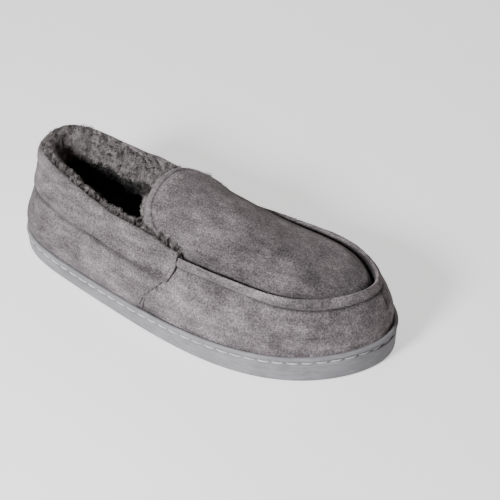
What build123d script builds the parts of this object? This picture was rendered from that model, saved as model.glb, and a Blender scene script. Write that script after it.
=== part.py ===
"""Right-foot moccasin house slipper: cup sole, padded footbed, suede upper with a crowned apron,
and a fleece lining. Millimetres, +X to the toe, +Y to the inner side of the foot, +Z up, with the
origin at the centre of the ground contact box."""

import math
import os

from build123d import *

os.makedirs("parts", exist_ok=True)

# ---------------------------------------------------------------- driving dimensions
sole_length = 290.0
toe_bluntness = 0.03  # share of the third harmonic in the long direction
half_width_waves = (59.5, 2.8, 2.1, -3.4)  # sine terms: width, ball, waist and toe corners
centre_line_waves = (2.6, 4.2, 0.9)  # cosine terms: the inward swing of a right foot
outline_points = 20
piping_points = 40
tab_points = 16

cup_wall = 3.6
cup_floor = 6.0
sole_lip = [(-150, 16.0), (-40, 16.6), (60, 20.4), (150, 22.4)]  # side view (x, z)
sole_sections = [(0.0, 3.6), (1.2, 1.8), (4.0, 0.9), (24.0, 0.0)]  # (z, inset)
stitch_groove_drop = 5.0  # middle of the groove, below the lip
stitch_groove_height = 3.0
stitch_groove_depth = 2.0
sole_stitch_pitch = 9.6
sole_stitch_length = 7.9
sole_stitch_radius = 0.65

tread_inset = 9.0
tread_depth = 1.6
tread_groove_width = 2.4
tread_pitch = 9.0

clearance = 0.1  # left between neighbouring layers
board_thickness = 1.5
foam_thickness = 7.0
cover_thickness = 4.0
suede = 1.4
fleece = 3.0

# Outer face of the suede: (height, inset from the sole outline at the heel, instep and toe).
upper_levels = [
    (6, 5.0, 5.0, 5.0),
    (26, 4.2, 4.6, 4.0),
    (42, 8.6, 10.4, 7.4),
    (54, 12.2, 19.4, 12.4),
    (68, 14.6, 22.0, 19.0),
    (84, 15.6, 22.6, 21.0),
]
# Padding between suede and lining behind the same levels, at the heel only.
heel_padding = (1.7, 1.7, 2.0, 4.0, 5.0, 4.4)
toe_padding = 0.2
heel_to_instep = (-60.0, 10.0)  # x where the heel's levels turn into the instep's
instep_to_toe = (45.0, 120.0)  # x where the instep's levels turn into the toe's
padding_fade = (-62.0, -12.0)  # x where the padding thins out
padding_end = -28.0  # x where the collar foam stops
above_all = 95.0  # a height over the whole slipper

# Side-view curves of the upper, as (x, z).
ridge_crest = [(-22, 58.5), (30, 60.0), (90, 59.0), (150, 57.5)]
collar_top = [(-150, 83.0), (-128, 82.5), (-104, 79.5), (-80, 74.5), (-56, 71.0), (-20, 66.0), (12, 59.0)]
collar_seam = [(-150, 56.5), (-100, 51.0), (-54, 48.6), (12, 43.4)]
quarter_front = [(-14, 0), (-11, 20), (-6, 32), (3.6, 43), (6, 52), (5.4, 62), (5.4, above_all)]

# Apron: (x, middle y, crown height, fall to the sides).
apron_sections = [
    (-42, 13.0, 86.0, 18.0),
    (-20, 10.5, 82.8, 18.0),
    (0, 6.5, 78.8, 18.6),
    (20, 5.0, 75.2, 17.6),
    (45, 4.0, 70.2, 13.6),
    (75, 4.0, 64.6, 8.8),
    (102, 6.0, 60.0, 5.0),
    (130, 9.0, 55.6, 2.4),
]
apron_half_span = 39.0
apron_gap = 0.6  # between the apron's edge and the piping
tab_inset = 25.6
tab_reach = 33.0
tab_half_width = 36.0
tab_angle = math.radians(50)  # how far round its ellipse the free edge runs
binding_radius = 1.3
piping_radius = 2.2
piping_insets = (21.2, 14.6)  # middle of the piping at the instep and at the toe
lining_drop = 7.5  # top of the wall lining, below the crest

# Stitch rows: (pitch, length), and where each row runs.
thread_radius = 0.35
ridge_row = (5.0, 3.6)
tab_row = (3.6, 2.6)
collar_row = (4.4, 3.2)
quarter_row = (3.8, 2.8)
ridge_row_drop = 8.6  # below the crest
tab_row_inset = 3.0  # inside the tab's edge
collar_row_rise = 2.0  # above the seam
quarter_row_setback = 2.5  # behind the quarter's front edge
quarter_row_heights = (24.0, 50.0)

heel_counter_front = -62.0
seam_allowance = 2.0  # left clear of the seams by foam and counter
seam_end = 7.0  # x where the ridge starts on both sides
collar_row_end = -4.0  # x where the collar's stitches stop
everywhere = 150.0  # reaches past the slipper in any direction


# ---------------------------------------------------------------- shape helpers
def raw_outline(turn):
    """Sole outline before centring; turn runs from 0 at the toe through the inner side."""
    stretch = sole_length / 2 / (1 - toe_bluntness)
    x = stretch * (math.cos(turn) - toe_bluntness * math.cos(3 * turn))
    y = sum(size * math.sin((n + 1) * turn) for n, size in enumerate(half_width_waves))
    y += sum(size * math.cos((n + 1) * turn) for n, size in enumerate(centre_line_waves))
    return x, y


fine_turns = [2 * math.pi * n / 1440 for n in range(1440)]
side_reach = [raw_outline(turn)[1] for turn in fine_turns]
sideways_centre = (max(side_reach) + min(side_reach)) / 2


def outline_frame(turn):
    """A point of the sole outline and its inward unit normal."""
    x, y = raw_outline(turn)
    step = 1e-4
    ahead_x, ahead_y = raw_outline(turn + step)
    behind_x, behind_y = raw_outline(turn - step)
    along = math.hypot(ahead_x - behind_x, ahead_y - behind_y)
    normal = (-(ahead_y - behind_y) / along, (ahead_x - behind_x) / along)
    return x, y - sideways_centre, normal


def inset_point(turn, inset):
    x, y, normal = outline_frame(turn)
    return x + normal[0] * inset, y + normal[1] * inset


def interpolate(table, x):
    """Smooth curve through (x, value) rows: piecewise cubic with averaged slopes."""
    if x <= table[0][0]:
        return table[0][1]
    if x >= table[-1][0]:
        return table[-1][1]
    n = max(i for i in range(len(table) - 1) if table[i][0] <= x)
    (x0, v0), (x1, v1) = table[n], table[n + 1]
    before = table[max(n - 1, 0)]
    after = table[min(n + 2, len(table) - 1)]
    slope0 = (v1 - before[1]) / (x1 - before[0])
    slope1 = (after[1] - v0) / (after[0] - x0)
    span = x1 - x0
    s = (x - x0) / span
    return (
        v0 * (2 * s**3 - 3 * s**2 + 1)
        + slope0 * span * (s**3 - 2 * s**2 + s)
        + v1 * (3 * s**2 - 2 * s**3)
        + slope1 * span * (s**3 - s**2)
    )


def fade(x, start, end):
    s = min(max((x - start) / (end - start), 0.0), 1.0)
    return s * s * (3 - 2 * s)


def along_foot(x, heel, instep, toe):
    """Value at x that changes smoothly from the heel's to the instep's and on to the toe's."""
    middle = heel + (instep - heel) * fade(x, *heel_to_instep)
    return middle + (toe - instep) * fade(x, *instep_to_toe)


def upper_inset(x, z):
    """Inset of the suede's outer face at a height, for the part of the outline that stands at x."""
    places = [interpolate([(row[0], row[place]) for row in upper_levels], z) for place in (1, 2, 3)]
    return along_foot(x, *places)


def piping_inset(x):
    """Inset of the middle of the piping."""
    instep, toe = piping_insets
    return along_foot(x, instep, instep, toe)


def padding_depth(x, level_number):
    fullness = 1 - fade(x, *padding_fade)
    return toe_padding + (heel_padding[level_number] - toe_padding) * fullness


def flat_outline(inset, height, bottom):
    """Straight-sided block whose plan is the sole outline moved inwards."""
    with BuildPart() as block:
        with BuildSketch(Plane.XY.offset(bottom)):
            with BuildLine():
                turns = [2 * math.pi * n / outline_points for n in range(outline_points)]
                Spline(*[inset_point(turn, inset) for turn in turns], periodic=True)
            make_face()
        extrude(amount=height)
    return block.part


def upper_block(depth, padded=False):
    """Everything within the face that lies this deep inside the suede's outer face."""
    with BuildPart() as block:
        for number, (level, *places) in enumerate(upper_levels):
            with BuildSketch(Plane.XY.offset(level)):
                with BuildLine():
                    points = []
                    for n in range(outline_points):
                        turn = 2 * math.pi * n / outline_points
                        x = raw_outline(turn)[0]
                        extra = padding_depth(x, number) if padded else 0
                        points.append(inset_point(turn, along_foot(x, *places) + depth + extra))
                    Spline(*points, periodic=True)
                make_face()
        loft()
    return block.part


def side_block(first, second):
    """Block across the whole width between two side-view curves given as (x, z)."""
    with BuildPart() as block:
        with BuildSketch(Plane.XZ):
            with BuildLine():
                one = Spline(*first) if len(first) > 2 else Line(*first)
                other = Spline(*second) if len(second) > 2 else Line(*second)
                Line(one @ 0, other @ 0)
                Line(one @ 1, other @ 1)
            make_face()
        extrude(amount=everywhere, both=True)
    return block.part


def common(first, second):
    """The space that two blocks share."""
    with BuildPart() as shared:
        add(first)
        add(second, mode=Mode.INTERSECT)
    return shared.part


def raised(curve, amount):
    return [(x, z + amount) for x, z in curve]


def level_line(z):
    return [(-everywhere, z), (everywhere, z)]


def upright_line(x):
    return [(x, 0), (x, above_all)]


def shifted(curve, amount):
    return [(x + amount, z) for x, z in curve]


def apron_height(x, y):
    """Top of the apron, from the circular section that stands at x."""
    middle = interpolate([(row[0], row[1]) for row in apron_sections], x)
    crown = interpolate([(row[0], row[2]) for row in apron_sections], x)
    fall = interpolate([(row[0], row[3]) for row in apron_sections], x)
    radius = (apron_half_span**2 + fall**2) / (2 * fall)
    return crown - radius + math.sqrt(radius**2 - (y - middle) ** 2)


def apron_sheet(depth, thickness):
    """Crowned sheet lying this deep below the apron's top."""
    with BuildPart() as sheet:
        for x, middle, crown, fall in apron_sections:
            with BuildSketch(Plane.YZ.offset(x)):
                with BuildLine():
                    left = middle - apron_half_span
                    right = middle + apron_half_span
                    top = crown - depth
                    under = top - thickness
                    upper_arc = ThreePointArc((left, top - fall), (middle, top), (right, top - fall))
                    lower_arc = ThreePointArc((left, under - fall), (middle, under), (right, under - fall))
                    Line(upper_arc @ 0, lower_arc @ 0)
                    Line(upper_arc @ 1, lower_arc @ 1)
                make_face()
        loft()
    return sheet.part


def apron_plan(trim):
    """Plan of the apron and its tab as a tall block; trim pulls the whole edge inwards."""
    tab_limit = flat_outline(tab_inset + trim, everywhere, 0)
    beside_piping = piping_radius + apron_gap + trim
    with BuildPart() as front:
        with BuildSketch():
            with BuildLine():
                points = []
                for n in range(outline_points):
                    turn = 2 * math.pi * n / outline_points
                    edge_inset = piping_inset(raw_outline(turn)[0]) + beside_piping
                    points.append(inset_point(turn, edge_inset))
                Spline(*points, periodic=True)
            make_face()
        extrude(amount=everywhere)
        with BuildSketch():
            with Locations((everywhere / 2, 0)):
                Rectangle(everywhere, 2 * everywhere)
        extrude(amount=everywhere, mode=Mode.INTERSECT)
    with BuildPart() as tab:
        add(tab_limit)
        with BuildSketch():
            Ellipse(tab_reach - trim, tab_half_width - trim)
        extrude(amount=everywhere, mode=Mode.INTERSECT)
    with BuildPart() as plan:
        add(front.part)
        add(tab.part)
    return plan.part


def rods(frames, length, radius):
    """Separate straight threads, one for each (middle, direction)."""
    with BuildPart() as row:
        with Locations(*[Plane(origin=middle, z_dir=direction) for middle, direction in frames]):
            Cylinder(radius, length)
    return row.part


def spaced_frames(curve_point, start, end, pitch):
    """(middle, direction) at an even pitch along a curve given as a function of one number."""
    steps = 600
    values = [start + (end - start) * n / steps for n in range(steps + 1)]
    points = [Vector(*curve_point(value)) for value in values]
    run = [0.0]
    for n in range(steps):
        run.append(run[-1] + (points[n + 1] - points[n]).length)
    count = int(run[-1] / pitch)
    margin = (run[-1] - (count - 1) * pitch) / 2
    frames = []
    for number in range(count):
        target = margin + number * pitch
        n = min(max(i for i in range(steps + 1) if run[i] <= target), steps - 1)
        direction = points[n + 1] - points[n]
        share = (target - run[n]) / (run[n + 1] - run[n])
        frames.append((points[n] + direction * share, direction.normalized()))
    return frames


def turn_at(x, side):
    """Outline turn where the sole outline stands at x; side is 1 for the inner side of the foot."""
    low, high = 0.0, math.pi
    for _ in range(50):
        middle = (low + high) / 2
        if raw_outline(side * middle)[0] > x:
            low = middle
        else:
            high = middle
    return side * low


def on_upper(turn, z, proud):
    """Point standing this far outside the suede at a height."""
    inset = upper_inset(raw_outline(turn)[0], z) - proud
    return (*inset_point(turn, inset), z)


# ---------------------------------------------------------------- outsole
board_bottom = cup_floor + clearance / 2
board_top = board_bottom + board_thickness
layer_bottom = board_top + clearance

sole_cavity = flat_outline(cup_wall, everywhere, cup_floor)
groove_core = flat_outline(stitch_groove_depth, everywhere, 0)
groove_low = raised(sole_lip, -stitch_groove_drop - stitch_groove_height / 2)
groove_high = raised(sole_lip, -stitch_groove_drop + stitch_groove_height / 2)
lip_cut = side_block(level_line(-1), sole_lip)
tread_field = flat_outline(tread_inset, tread_depth, 0)

with BuildPart() as stitch_groove:
    add(side_block(groove_low, groove_high))
    add(groove_core, mode=Mode.SUBTRACT)

with BuildPart() as tread_grooves:
    with BuildSketch():
        with GridLocations(tread_pitch, 0, int(sole_length / tread_pitch), 1):
            Rectangle(tread_groove_width, 2 * everywhere)
    extrude(amount=tread_depth)
    add(tread_field, mode=Mode.INTERSECT)

with BuildPart() as outsole:
    for level, inset in sole_sections:
        with BuildSketch(Plane.XY.offset(level)):
            with BuildLine():
                turns = [2 * math.pi * n / outline_points for n in range(outline_points)]
                Spline(*[inset_point(turn, inset) for turn in turns], periodic=True)
            make_face()
    loft(ruled=True)
    add(lip_cut, mode=Mode.INTERSECT)
    add(sole_cavity, mode=Mode.SUBTRACT)
    add(stitch_groove.part, mode=Mode.SUBTRACT)
    add(tread_grooves.part, mode=Mode.SUBTRACT)


def groove_point(turn):
    x = raw_outline(turn)[0]
    inset = stitch_groove_depth - sole_stitch_radius - clearance
    return (*inset_point(turn, inset), interpolate(sole_lip, x) - stitch_groove_drop)


with BuildPart() as sidewall_stitches:
    frames = spaced_frames(groove_point, 0, 2 * math.pi, sole_stitch_pitch)
    add(rods(frames, sole_stitch_length, sole_stitch_radius))

# ---------------------------------------------------------------- board and footbed
with BuildPart() as insole_board:
    add(flat_outline(cup_wall + clearance, board_thickness, board_bottom))

footbed_inset = upper_levels[0][1] + suede + heel_padding[0] + fleece + 4 * clearance

with BuildPart() as foam_footbed:
    add(flat_outline(footbed_inset, foam_thickness, layer_bottom))

with BuildPart() as footbed_cover:
    add(flat_outline(footbed_inset, cover_thickness, layer_bottom + foam_thickness + clearance))

# ---------------------------------------------------------------- upper: shared faces and side views
suede_face = upper_block(0)
suede_back = upper_block(suede)
padding_face = upper_block(suede + clearance)
padding_back = upper_block(suede + clearance, padded=True)
lining_face = upper_block(suede + 2 * clearance, padded=True)
lining_back = upper_block(suede + 2 * clearance + fleece, padded=True)

ahead_of_quarter = side_block(shifted(quarter_front, clearance), upright_line(everywhere))
behind_quarter_front = side_block(upright_line(-everywhere), shifted(quarter_front, -clearance))

# ---------------------------------------------------------------- vamp wall and its lining
wall_top = raised(ridge_crest, -2 * piping_radius - clearance)
lining_top = raised(ridge_crest, -lining_drop)
vamp_view = common(ahead_of_quarter, side_block(level_line(layer_bottom), wall_top))
vamp_lining_view = common(ahead_of_quarter, side_block(level_line(layer_bottom), lining_top))

with BuildPart() as vamp_wall:
    add(vamp_view)
    add(suede_face, mode=Mode.INTERSECT)
    add(suede_back, mode=Mode.SUBTRACT)

with BuildPart() as wall_lining:
    add(vamp_lining_view)
    add(lining_face, mode=Mode.INTERSECT)
    add(lining_back, mode=Mode.SUBTRACT)

# ---------------------------------------------------------------- apron, its lining and edging
apron_block = apron_plan(0)

with BuildPart() as apron:
    add(apron_sheet(0, suede))
    add(apron_block, mode=Mode.INTERSECT)

with BuildPart() as apron_lining:
    add(apron_sheet(suede + clearance, fleece))
    add(apron_plan(2 * clearance), mode=Mode.INTERSECT)

ridge_start = turn_at(seam_end, -1)
ridge_end = turn_at(seam_end, 1)


def piping_point(turn):
    along = raw_outline(turn)[0]
    x, y = inset_point(turn, piping_inset(along))
    return x, y, interpolate(ridge_crest, along) - piping_radius


with BuildPart() as ridge_piping:
    with BuildLine() as ridge_line:
        share = (ridge_end - ridge_start) / piping_points
        Spline(*[piping_point(ridge_start + share * n) for n in range(piping_points + 1)])
    with BuildSketch(Plane(ridge_line.line @ 0, z_dir=ridge_line.line % 0)):
        Circle(piping_radius)
    sweep()


def furrow_point(turn):
    z = interpolate(ridge_crest, raw_outline(turn)[0]) - ridge_row_drop
    return on_upper(turn, z, 3 * thread_radius)


with BuildPart() as ridge_stitches:
    pitch, length = ridge_row
    add(rods(spaced_frames(furrow_point, ridge_start, ridge_end, pitch), length, thread_radius))


def tab_edge_point(angle, outwards, proud):
    """Point on the tab's free edge; angle 0 is its middle."""
    x = -(tab_reach + outwards) * math.cos(angle)
    y = (tab_half_width + outwards) * math.sin(angle)
    return x, y, apron_height(x, y) + proud


def tab_row_point(angle):
    return tab_edge_point(angle, -tab_row_inset, 2 * thread_radius)


with BuildPart() as tab_binding:
    with BuildLine() as tab_line:
        angles = [tab_angle * (2 * n / tab_points - 1) for n in range(tab_points + 1)]
        Spline(*[tab_edge_point(angle, binding_radius + clearance, -suede) for angle in angles])
    with BuildSketch(Plane(tab_line.line @ 0, z_dir=tab_line.line % 0)):
        Circle(binding_radius)
    sweep()

with BuildPart() as tab_stitches:
    pitch, length = tab_row
    add(rods(spaced_frames(tab_row_point, -tab_angle, tab_angle, pitch), length, thread_radius))

# ---------------------------------------------------------------- quarters, collar and heel
below_seam = side_block(level_line(layer_bottom), raised(collar_seam, -clearance))
above_seam = side_block(raised(collar_seam, clearance), collar_top)
behind_foam_end = side_block(upright_line(-everywhere), upright_line(padding_end))
behind_counter_end = side_block(upright_line(-everywhere), upright_line(heel_counter_front))
quarter_view = common(behind_quarter_front, below_seam)
collar_view = common(behind_quarter_front, above_seam)
foam_view = common(behind_foam_end, side_block(raised(collar_seam, seam_allowance),
                                              raised(collar_top, -seam_allowance)))
counter_view = common(behind_counter_end, side_block(level_line(layer_bottom),
                                                    raised(collar_seam, -seam_allowance)))
lining_view = common(behind_quarter_front, side_block(level_line(layer_bottom), collar_top))
heel_y = outline_frame(math.pi)[1]


def half_space(side):
    """Everything on one side of the heel's back seam."""
    with BuildPart() as half:
        with BuildSketch():
            with Locations((0, heel_y + side * (everywhere + clearance))):
                Rectangle(4 * everywhere, 2 * everywhere)
        extrude(amount=everywhere)
    return half.part


with BuildPart() as quarter_lateral:
    add(common(quarter_view, half_space(-1)))
    add(suede_face, mode=Mode.INTERSECT)
    add(suede_back, mode=Mode.SUBTRACT)

with BuildPart() as quarter_medial:
    add(common(quarter_view, half_space(1)))
    add(suede_face, mode=Mode.INTERSECT)
    add(suede_back, mode=Mode.SUBTRACT)

with BuildPart() as collar_band:
    add(collar_view)
    add(suede_face, mode=Mode.INTERSECT)
    add(suede_back, mode=Mode.SUBTRACT)

with BuildPart() as collar_foam:
    add(foam_view)
    add(padding_face, mode=Mode.INTERSECT)
    add(padding_back, mode=Mode.SUBTRACT)

with BuildPart() as heel_counter:
    add(counter_view)
    add(padding_face, mode=Mode.INTERSECT)
    add(padding_back, mode=Mode.SUBTRACT)

with BuildPart() as collar_lining:
    add(lining_view)
    add(lining_face, mode=Mode.INTERSECT)
    add(lining_back, mode=Mode.SUBTRACT)


def seam_point(turn):
    z = interpolate(collar_seam, raw_outline(turn)[0]) + collar_row_rise
    return on_upper(turn, z, 3 * thread_radius)


with BuildPart() as collar_stitches:
    pitch, length = collar_row
    row_start = turn_at(collar_row_end, 1)
    row_end = 2 * math.pi + turn_at(collar_row_end, -1)
    add(rods(spaced_frames(seam_point, row_start, row_end, pitch), length, thread_radius))


def quarter_front_point(z, side):
    x = interpolate([(height, x) for x, height in quarter_front], z) - quarter_row_setback
    return on_upper(turn_at(x, side), z, 3 * thread_radius)


with BuildPart() as quarter_front_stitches:
    pitch, length = quarter_row
    for side in (-1, 1):
        frames = spaced_frames(lambda z: quarter_front_point(z, side), *quarter_row_heights, pitch)
        add(rods(frames, length, thread_radius))

# ---------------------------------------------------------------- export
pieces = {
    "outsole": outsole,
    "sidewall_stitches": sidewall_stitches,
    "insole_board": insole_board,
    "foam_footbed": foam_footbed,
    "footbed_cover": footbed_cover,
    "vamp_wall": vamp_wall,
    "wall_lining": wall_lining,
    "apron": apron,
    "apron_lining": apron_lining,
    "ridge_piping": ridge_piping,
    "ridge_stitches": ridge_stitches,
    "tab_binding": tab_binding,
    "tab_stitches": tab_stitches,
    "quarter_lateral": quarter_lateral,
    "quarter_medial": quarter_medial,
    "collar_band": collar_band,
    "collar_foam": collar_foam,
    "heel_counter": heel_counter,
    "collar_lining": collar_lining,
    "collar_stitches": collar_stitches,
    "quarter_front_stitches": quarter_front_stitches,
}

for name, piece in pieces.items():
    piece.part.label = name
    export_step(piece.part, f"parts/{name}.step")
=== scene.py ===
"""Looks for the moccasin house slipper: suede upper, fleece lining and stitched rubber cup sole.

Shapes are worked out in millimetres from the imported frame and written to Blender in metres.
Turns run round the sole outline: 0 at the toe, a quarter turn at the inner side, a half at the heel."""
import math

import bpy
import numpy as np
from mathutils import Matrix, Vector, noise


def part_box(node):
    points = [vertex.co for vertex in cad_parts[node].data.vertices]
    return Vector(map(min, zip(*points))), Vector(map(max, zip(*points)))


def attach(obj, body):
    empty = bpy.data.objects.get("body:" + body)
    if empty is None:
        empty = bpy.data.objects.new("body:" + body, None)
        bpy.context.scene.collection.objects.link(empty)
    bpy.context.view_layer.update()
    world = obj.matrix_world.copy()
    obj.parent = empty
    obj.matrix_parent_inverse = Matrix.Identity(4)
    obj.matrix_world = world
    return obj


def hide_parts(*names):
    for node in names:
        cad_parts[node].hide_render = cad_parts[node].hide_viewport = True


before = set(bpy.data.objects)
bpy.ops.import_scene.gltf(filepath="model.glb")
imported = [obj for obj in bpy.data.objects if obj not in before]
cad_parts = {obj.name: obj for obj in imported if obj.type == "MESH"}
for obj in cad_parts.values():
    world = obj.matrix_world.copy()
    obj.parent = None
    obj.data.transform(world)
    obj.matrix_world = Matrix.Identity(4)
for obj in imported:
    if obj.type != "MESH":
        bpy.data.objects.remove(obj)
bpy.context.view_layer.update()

MM = 0.001
TAU = 2 * math.pi
rng = np.random.default_rng(7)

# ------------------------------------------------------------------ sizes, in millimetres
DRAWN_LENGTH = 290.0                        # sole length that every size below was drawn for
sole_low, sole_high = (np.array(corner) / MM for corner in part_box("outsole"))
LENGTH = sole_high[0] - sole_low[0]
UNIT = LENGTH / DRAWN_LENGTH

# Sole outline as waves round it: how blunt the ends are, the half width and the bend of the centre line.
TOE_BLUNTNESS = 0.03
WIDTH_WAVES = (59.5, 2.8, 2.1, -3.4)
CENTRE_WAVES = (2.6, 4.2, 0.9)

# Side-view curves as (x, z) rows.
LIP = [(-150, 16.0), (-40, 16.6), (60, 20.4), (150, 22.4)]
CREST = [(-22, 58.5), (30, 60.0), (90, 59.2), (150, 58.0)]
COLLAR = [(-150, 83.0), (-128, 82.5), (-104, 79.5), (-80, 74.5), (-56, 71.0), (-20, 66.0), (12, 59.0)]
COLLAR_SEAM = [(-150, 56.5), (-100, 51.0), (-54, 48.6), (12, 43.4)]
QUARTER_FRONT = [(-14, 0), (-11, 20), (-6, 32), (3.6, 43), (6, 52), (5.4, 62)]

# Outer face of the suede: (height, inset at the heel, the instep and the toe).
LEVELS = [(6, 5.0, 5.0, 5.0), (26, 4.2, 4.6, 4.0), (42, 8.6, 10.4, 7.4), (54, 12.2, 19.4, 12.4),
          (68, 14.6, 22.0, 19.0), (84, 15.6, 22.6, 21.0)]
HEEL_TO_INSTEP = (-60.0, 10.0)
INSTEP_TO_TOE = (45.0, 120.0)
CREST_INSETS = (21.2, 15.0)                 # highest line of the ridge at the instep and at the toe

# Apron: (x, middle y, crown height, fall to the sides).
APRON = [(-42, 13.0, 86.0, 18.0), (-20, 10.5, 82.8, 18.0), (0, 6.5, 78.8, 18.6), (20, 5.0, 75.2, 17.6),
         (45, 4.0, 70.2, 13.6), (75, 4.0, 64.6, 8.8), (102, 6.0, 60.0, 5.0), (130, 9.0, 55.6, 2.4)]
APRON_HALF_SPAN = 39.0
APRON_CENTRE = np.array([40.0, 0.5]) * UNIT  # the apron's rings of points shrink towards this place

SUEDE_THICKNESS = 1.2 * UNIT
QUARTER_THICKNESS = 1.3 * UNIT
RIDGE_THICKNESS = 0.9 * UNIT
NOISE_STEP = 17.3                           # how far the noise field moves from one seed to the next


# ------------------------------------------------------------------ curves and outline
def curve(rows, x):
    """Smooth interpolation through (x, value) rows, for arrays."""
    x = np.asarray(x, float)
    xs = np.array([row[0] for row in rows], float) * UNIT
    vs = np.array([row[1] for row in rows], float) * UNIT
    slopes = np.gradient(vs, xs)
    n = np.clip(np.searchsorted(xs, x) - 1, 0, len(xs) - 2)
    span = xs[n + 1] - xs[n]
    s = np.clip((x - xs[n]) / span, 0, 1)
    return (vs[n] * (2 * s**3 - 3 * s**2 + 1) + slopes[n] * span * (s**3 - 2 * s**2 + s)
            + vs[n + 1] * (3 * s**2 - 2 * s**3) + slopes[n + 1] * span * (s**3 - s**2))


def fade(x, start, end):
    """0 up to start, 1 from end on, and a smooth rise between."""
    s = np.clip((np.asarray(x, float) - start) / (end - start), 0, 1)
    return s * s * (3 - 2 * s)


def raw_outline(turn):
    """Points of the sole outline before it is centred on y = 0."""
    turn = np.asarray(turn, float)
    x = LENGTH / 2 / (1 - TOE_BLUNTNESS) * (np.cos(turn) - TOE_BLUNTNESS * np.cos(3 * turn))
    y = sum(size * np.sin((n + 1) * turn) for n, size in enumerate(WIDTH_WAVES))
    y = y + sum(size * np.cos((n + 1) * turn) for n, size in enumerate(CENTRE_WAVES))
    return x, y * UNIT


ALL_TURNS = np.linspace(0, TAU, 2001)
SIDE_REACH = raw_outline(ALL_TURNS)[1]
SIDE_MIDDLE = (SIDE_REACH.max() + SIDE_REACH.min()) / 2


def outline(turn, inset):
    """Points of the sole outline moved inwards along its normal, as x and y arrays."""
    step = 1e-4
    x, y = raw_outline(turn)
    ahead, behind = raw_outline(turn + step), raw_outline(turn - step)
    dx, dy = ahead[0] - behind[0], ahead[1] - behind[1]
    size = np.hypot(dx, dy)
    return x - dy / size * inset, y - SIDE_MIDDLE + dx / size * inset


def turn_at(x, side):
    """Turn where the outline stands at x; side is 1 for the inner side of the foot, -1 for the outer."""
    turns = np.linspace(0, math.pi, 3000)
    xs = raw_outline(turns)[0]
    return side * np.interp(-np.asarray(x, float), -xs, turns)


def along_foot(x, heel, instep, toe):
    """Value at x that changes smoothly from the heel's to the instep's and on to the toe's."""
    middle = heel + (instep - heel) * fade(x, HEEL_TO_INSTEP[0] * UNIT, HEEL_TO_INSTEP[1] * UNIT)
    return middle + (toe - instep) * fade(x, INSTEP_TO_TOE[0] * UNIT, INSTEP_TO_TOE[1] * UNIT)


def suede_inset(x, z):
    """How far the suede's outer face stands inside the sole outline."""
    places = [curve([(row[0], row[place]) for row in LEVELS], z) for place in (1, 2, 3)]
    return along_foot(x, *places)


def ridge_inset(x):
    """Inset of the ridge's highest line."""
    instep, toe = CREST_INSETS
    return along_foot(x, instep, instep, toe) * UNIT


def apron_height(x, y):
    """Height of the crowned apron: an arc across, whose crown and fall change along the foot."""
    middle = curve([(row[0], row[1]) for row in APRON], x)
    crown = curve([(row[0], row[2]) for row in APRON], x)
    fall = curve([(row[0], row[3]) for row in APRON], x)
    span = APRON_HALF_SPAN * UNIT
    radius = (span**2 + fall**2) / (2 * fall)
    return crown - radius + np.sqrt(np.maximum(radius**2 - (y - middle) ** 2, 1.0))


# ------------------------------------------------------------------ mesh helpers
def near(distance, reach):
    """1 where a distance is nothing, falling to 0 a couple of reaches away; reach is in UNITs."""
    return np.exp(-((np.asarray(distance) / (reach * UNIT)) ** 2))


def add_mesh(name, points, faces, material, nodes=(), values=None):
    """A new smooth piece from points in millimetres; values is an optional number per point."""
    mesh = bpy.data.meshes.new(name)
    mesh.from_pydata((np.asarray(points) * MM).tolist(), [], faces)
    mesh.update()
    mesh.polygons.foreach_set("use_smooth", np.ones(len(mesh.polygons), bool))
    if values is not None:
        layer = mesh.attributes.new("shade", "FLOAT", "POINT")
        layer.data.foreach_set("value", np.clip(values, 0, 1).astype(np.float32).reshape(-1))
    piece = bpy.data.objects.new(name, mesh)
    bpy.context.scene.collection.objects.link(piece)
    piece.data.materials.append(material)
    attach(piece, "root")
    if nodes:
        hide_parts(*nodes)
    return piece


def grid_faces(rows, columns, wrap_columns=False):
    """Quads of a rows by columns grid of points, with the last column joined to the first if asked."""
    column_count = columns if wrap_columns else columns - 1
    i, j = np.meshgrid(np.arange(rows - 1), np.arange(column_count), indexing="ij")
    i2, j2 = i + 1, (j + 1) % columns
    quads = np.stack([i * columns + j, i * columns + j2, i2 * columns + j2, i2 * columns + j], -1)
    return quads.reshape(-1, 4).tolist()


def normals_of(grid):
    """Unit normals of a grid of points, rows by columns by 3."""
    down, across = np.gradient(grid, axis=0), np.gradient(grid, axis=1)
    normal = np.cross(across, down)
    return normal / np.maximum(np.linalg.norm(normal, axis=-1, keepdims=True), 1e-9)


def ripple(points, scale, seed):
    """Smooth noise in about -1..1 at each point; scale is the feature size in millimetres."""
    flat = np.asarray(points).reshape(-1, 3) / scale + seed * NOISE_STEP
    out = np.array([noise.noise(Vector(p)) for p in flat])
    return out.reshape(np.asarray(points).shape[:-1])


def push_out(grid, inside, relief):
    """The grid moved along its normals by relief in UNITs, away from a place or places inside."""
    normal = normals_of(grid)
    outward = np.sign((normal * (grid - inside)).sum(-1, keepdims=True))
    return grid + normal * outward * relief * UNIT


def through(controls, count):
    """Smooth cross-sections: controls is (k, ..., 2), and count points follow the k control points."""
    controls = np.asarray(controls, float)
    last = len(controls) - 1
    before = np.concatenate([2 * controls[:1] - controls[1:2], controls[:-1]])
    after = np.concatenate([controls[1:], 2 * controls[-1:] - controls[-2:-1]])
    rise = (after - before) / 2
    chord = np.linalg.norm(np.diff(controls, axis=0), axis=-1)
    weights = np.concatenate([[0], np.cumsum(chord.reshape(last, -1).mean(axis=1))])
    place = np.interp(np.linspace(0, weights[-1], count), weights, np.arange(last + 1))
    n = np.minimum(place.astype(int), last - 1)
    s = (place - n).reshape((count,) + (1,) * (controls.ndim - 1))
    return ((2 * s**3 - 3 * s**2 + 1) * controls[n] + (s**3 - 2 * s**2 + s) * rise[n]
            + (3 * s**2 - 2 * s**3) * controls[n + 1] + (s**3 - s**2) * rise[n + 1])


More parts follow.
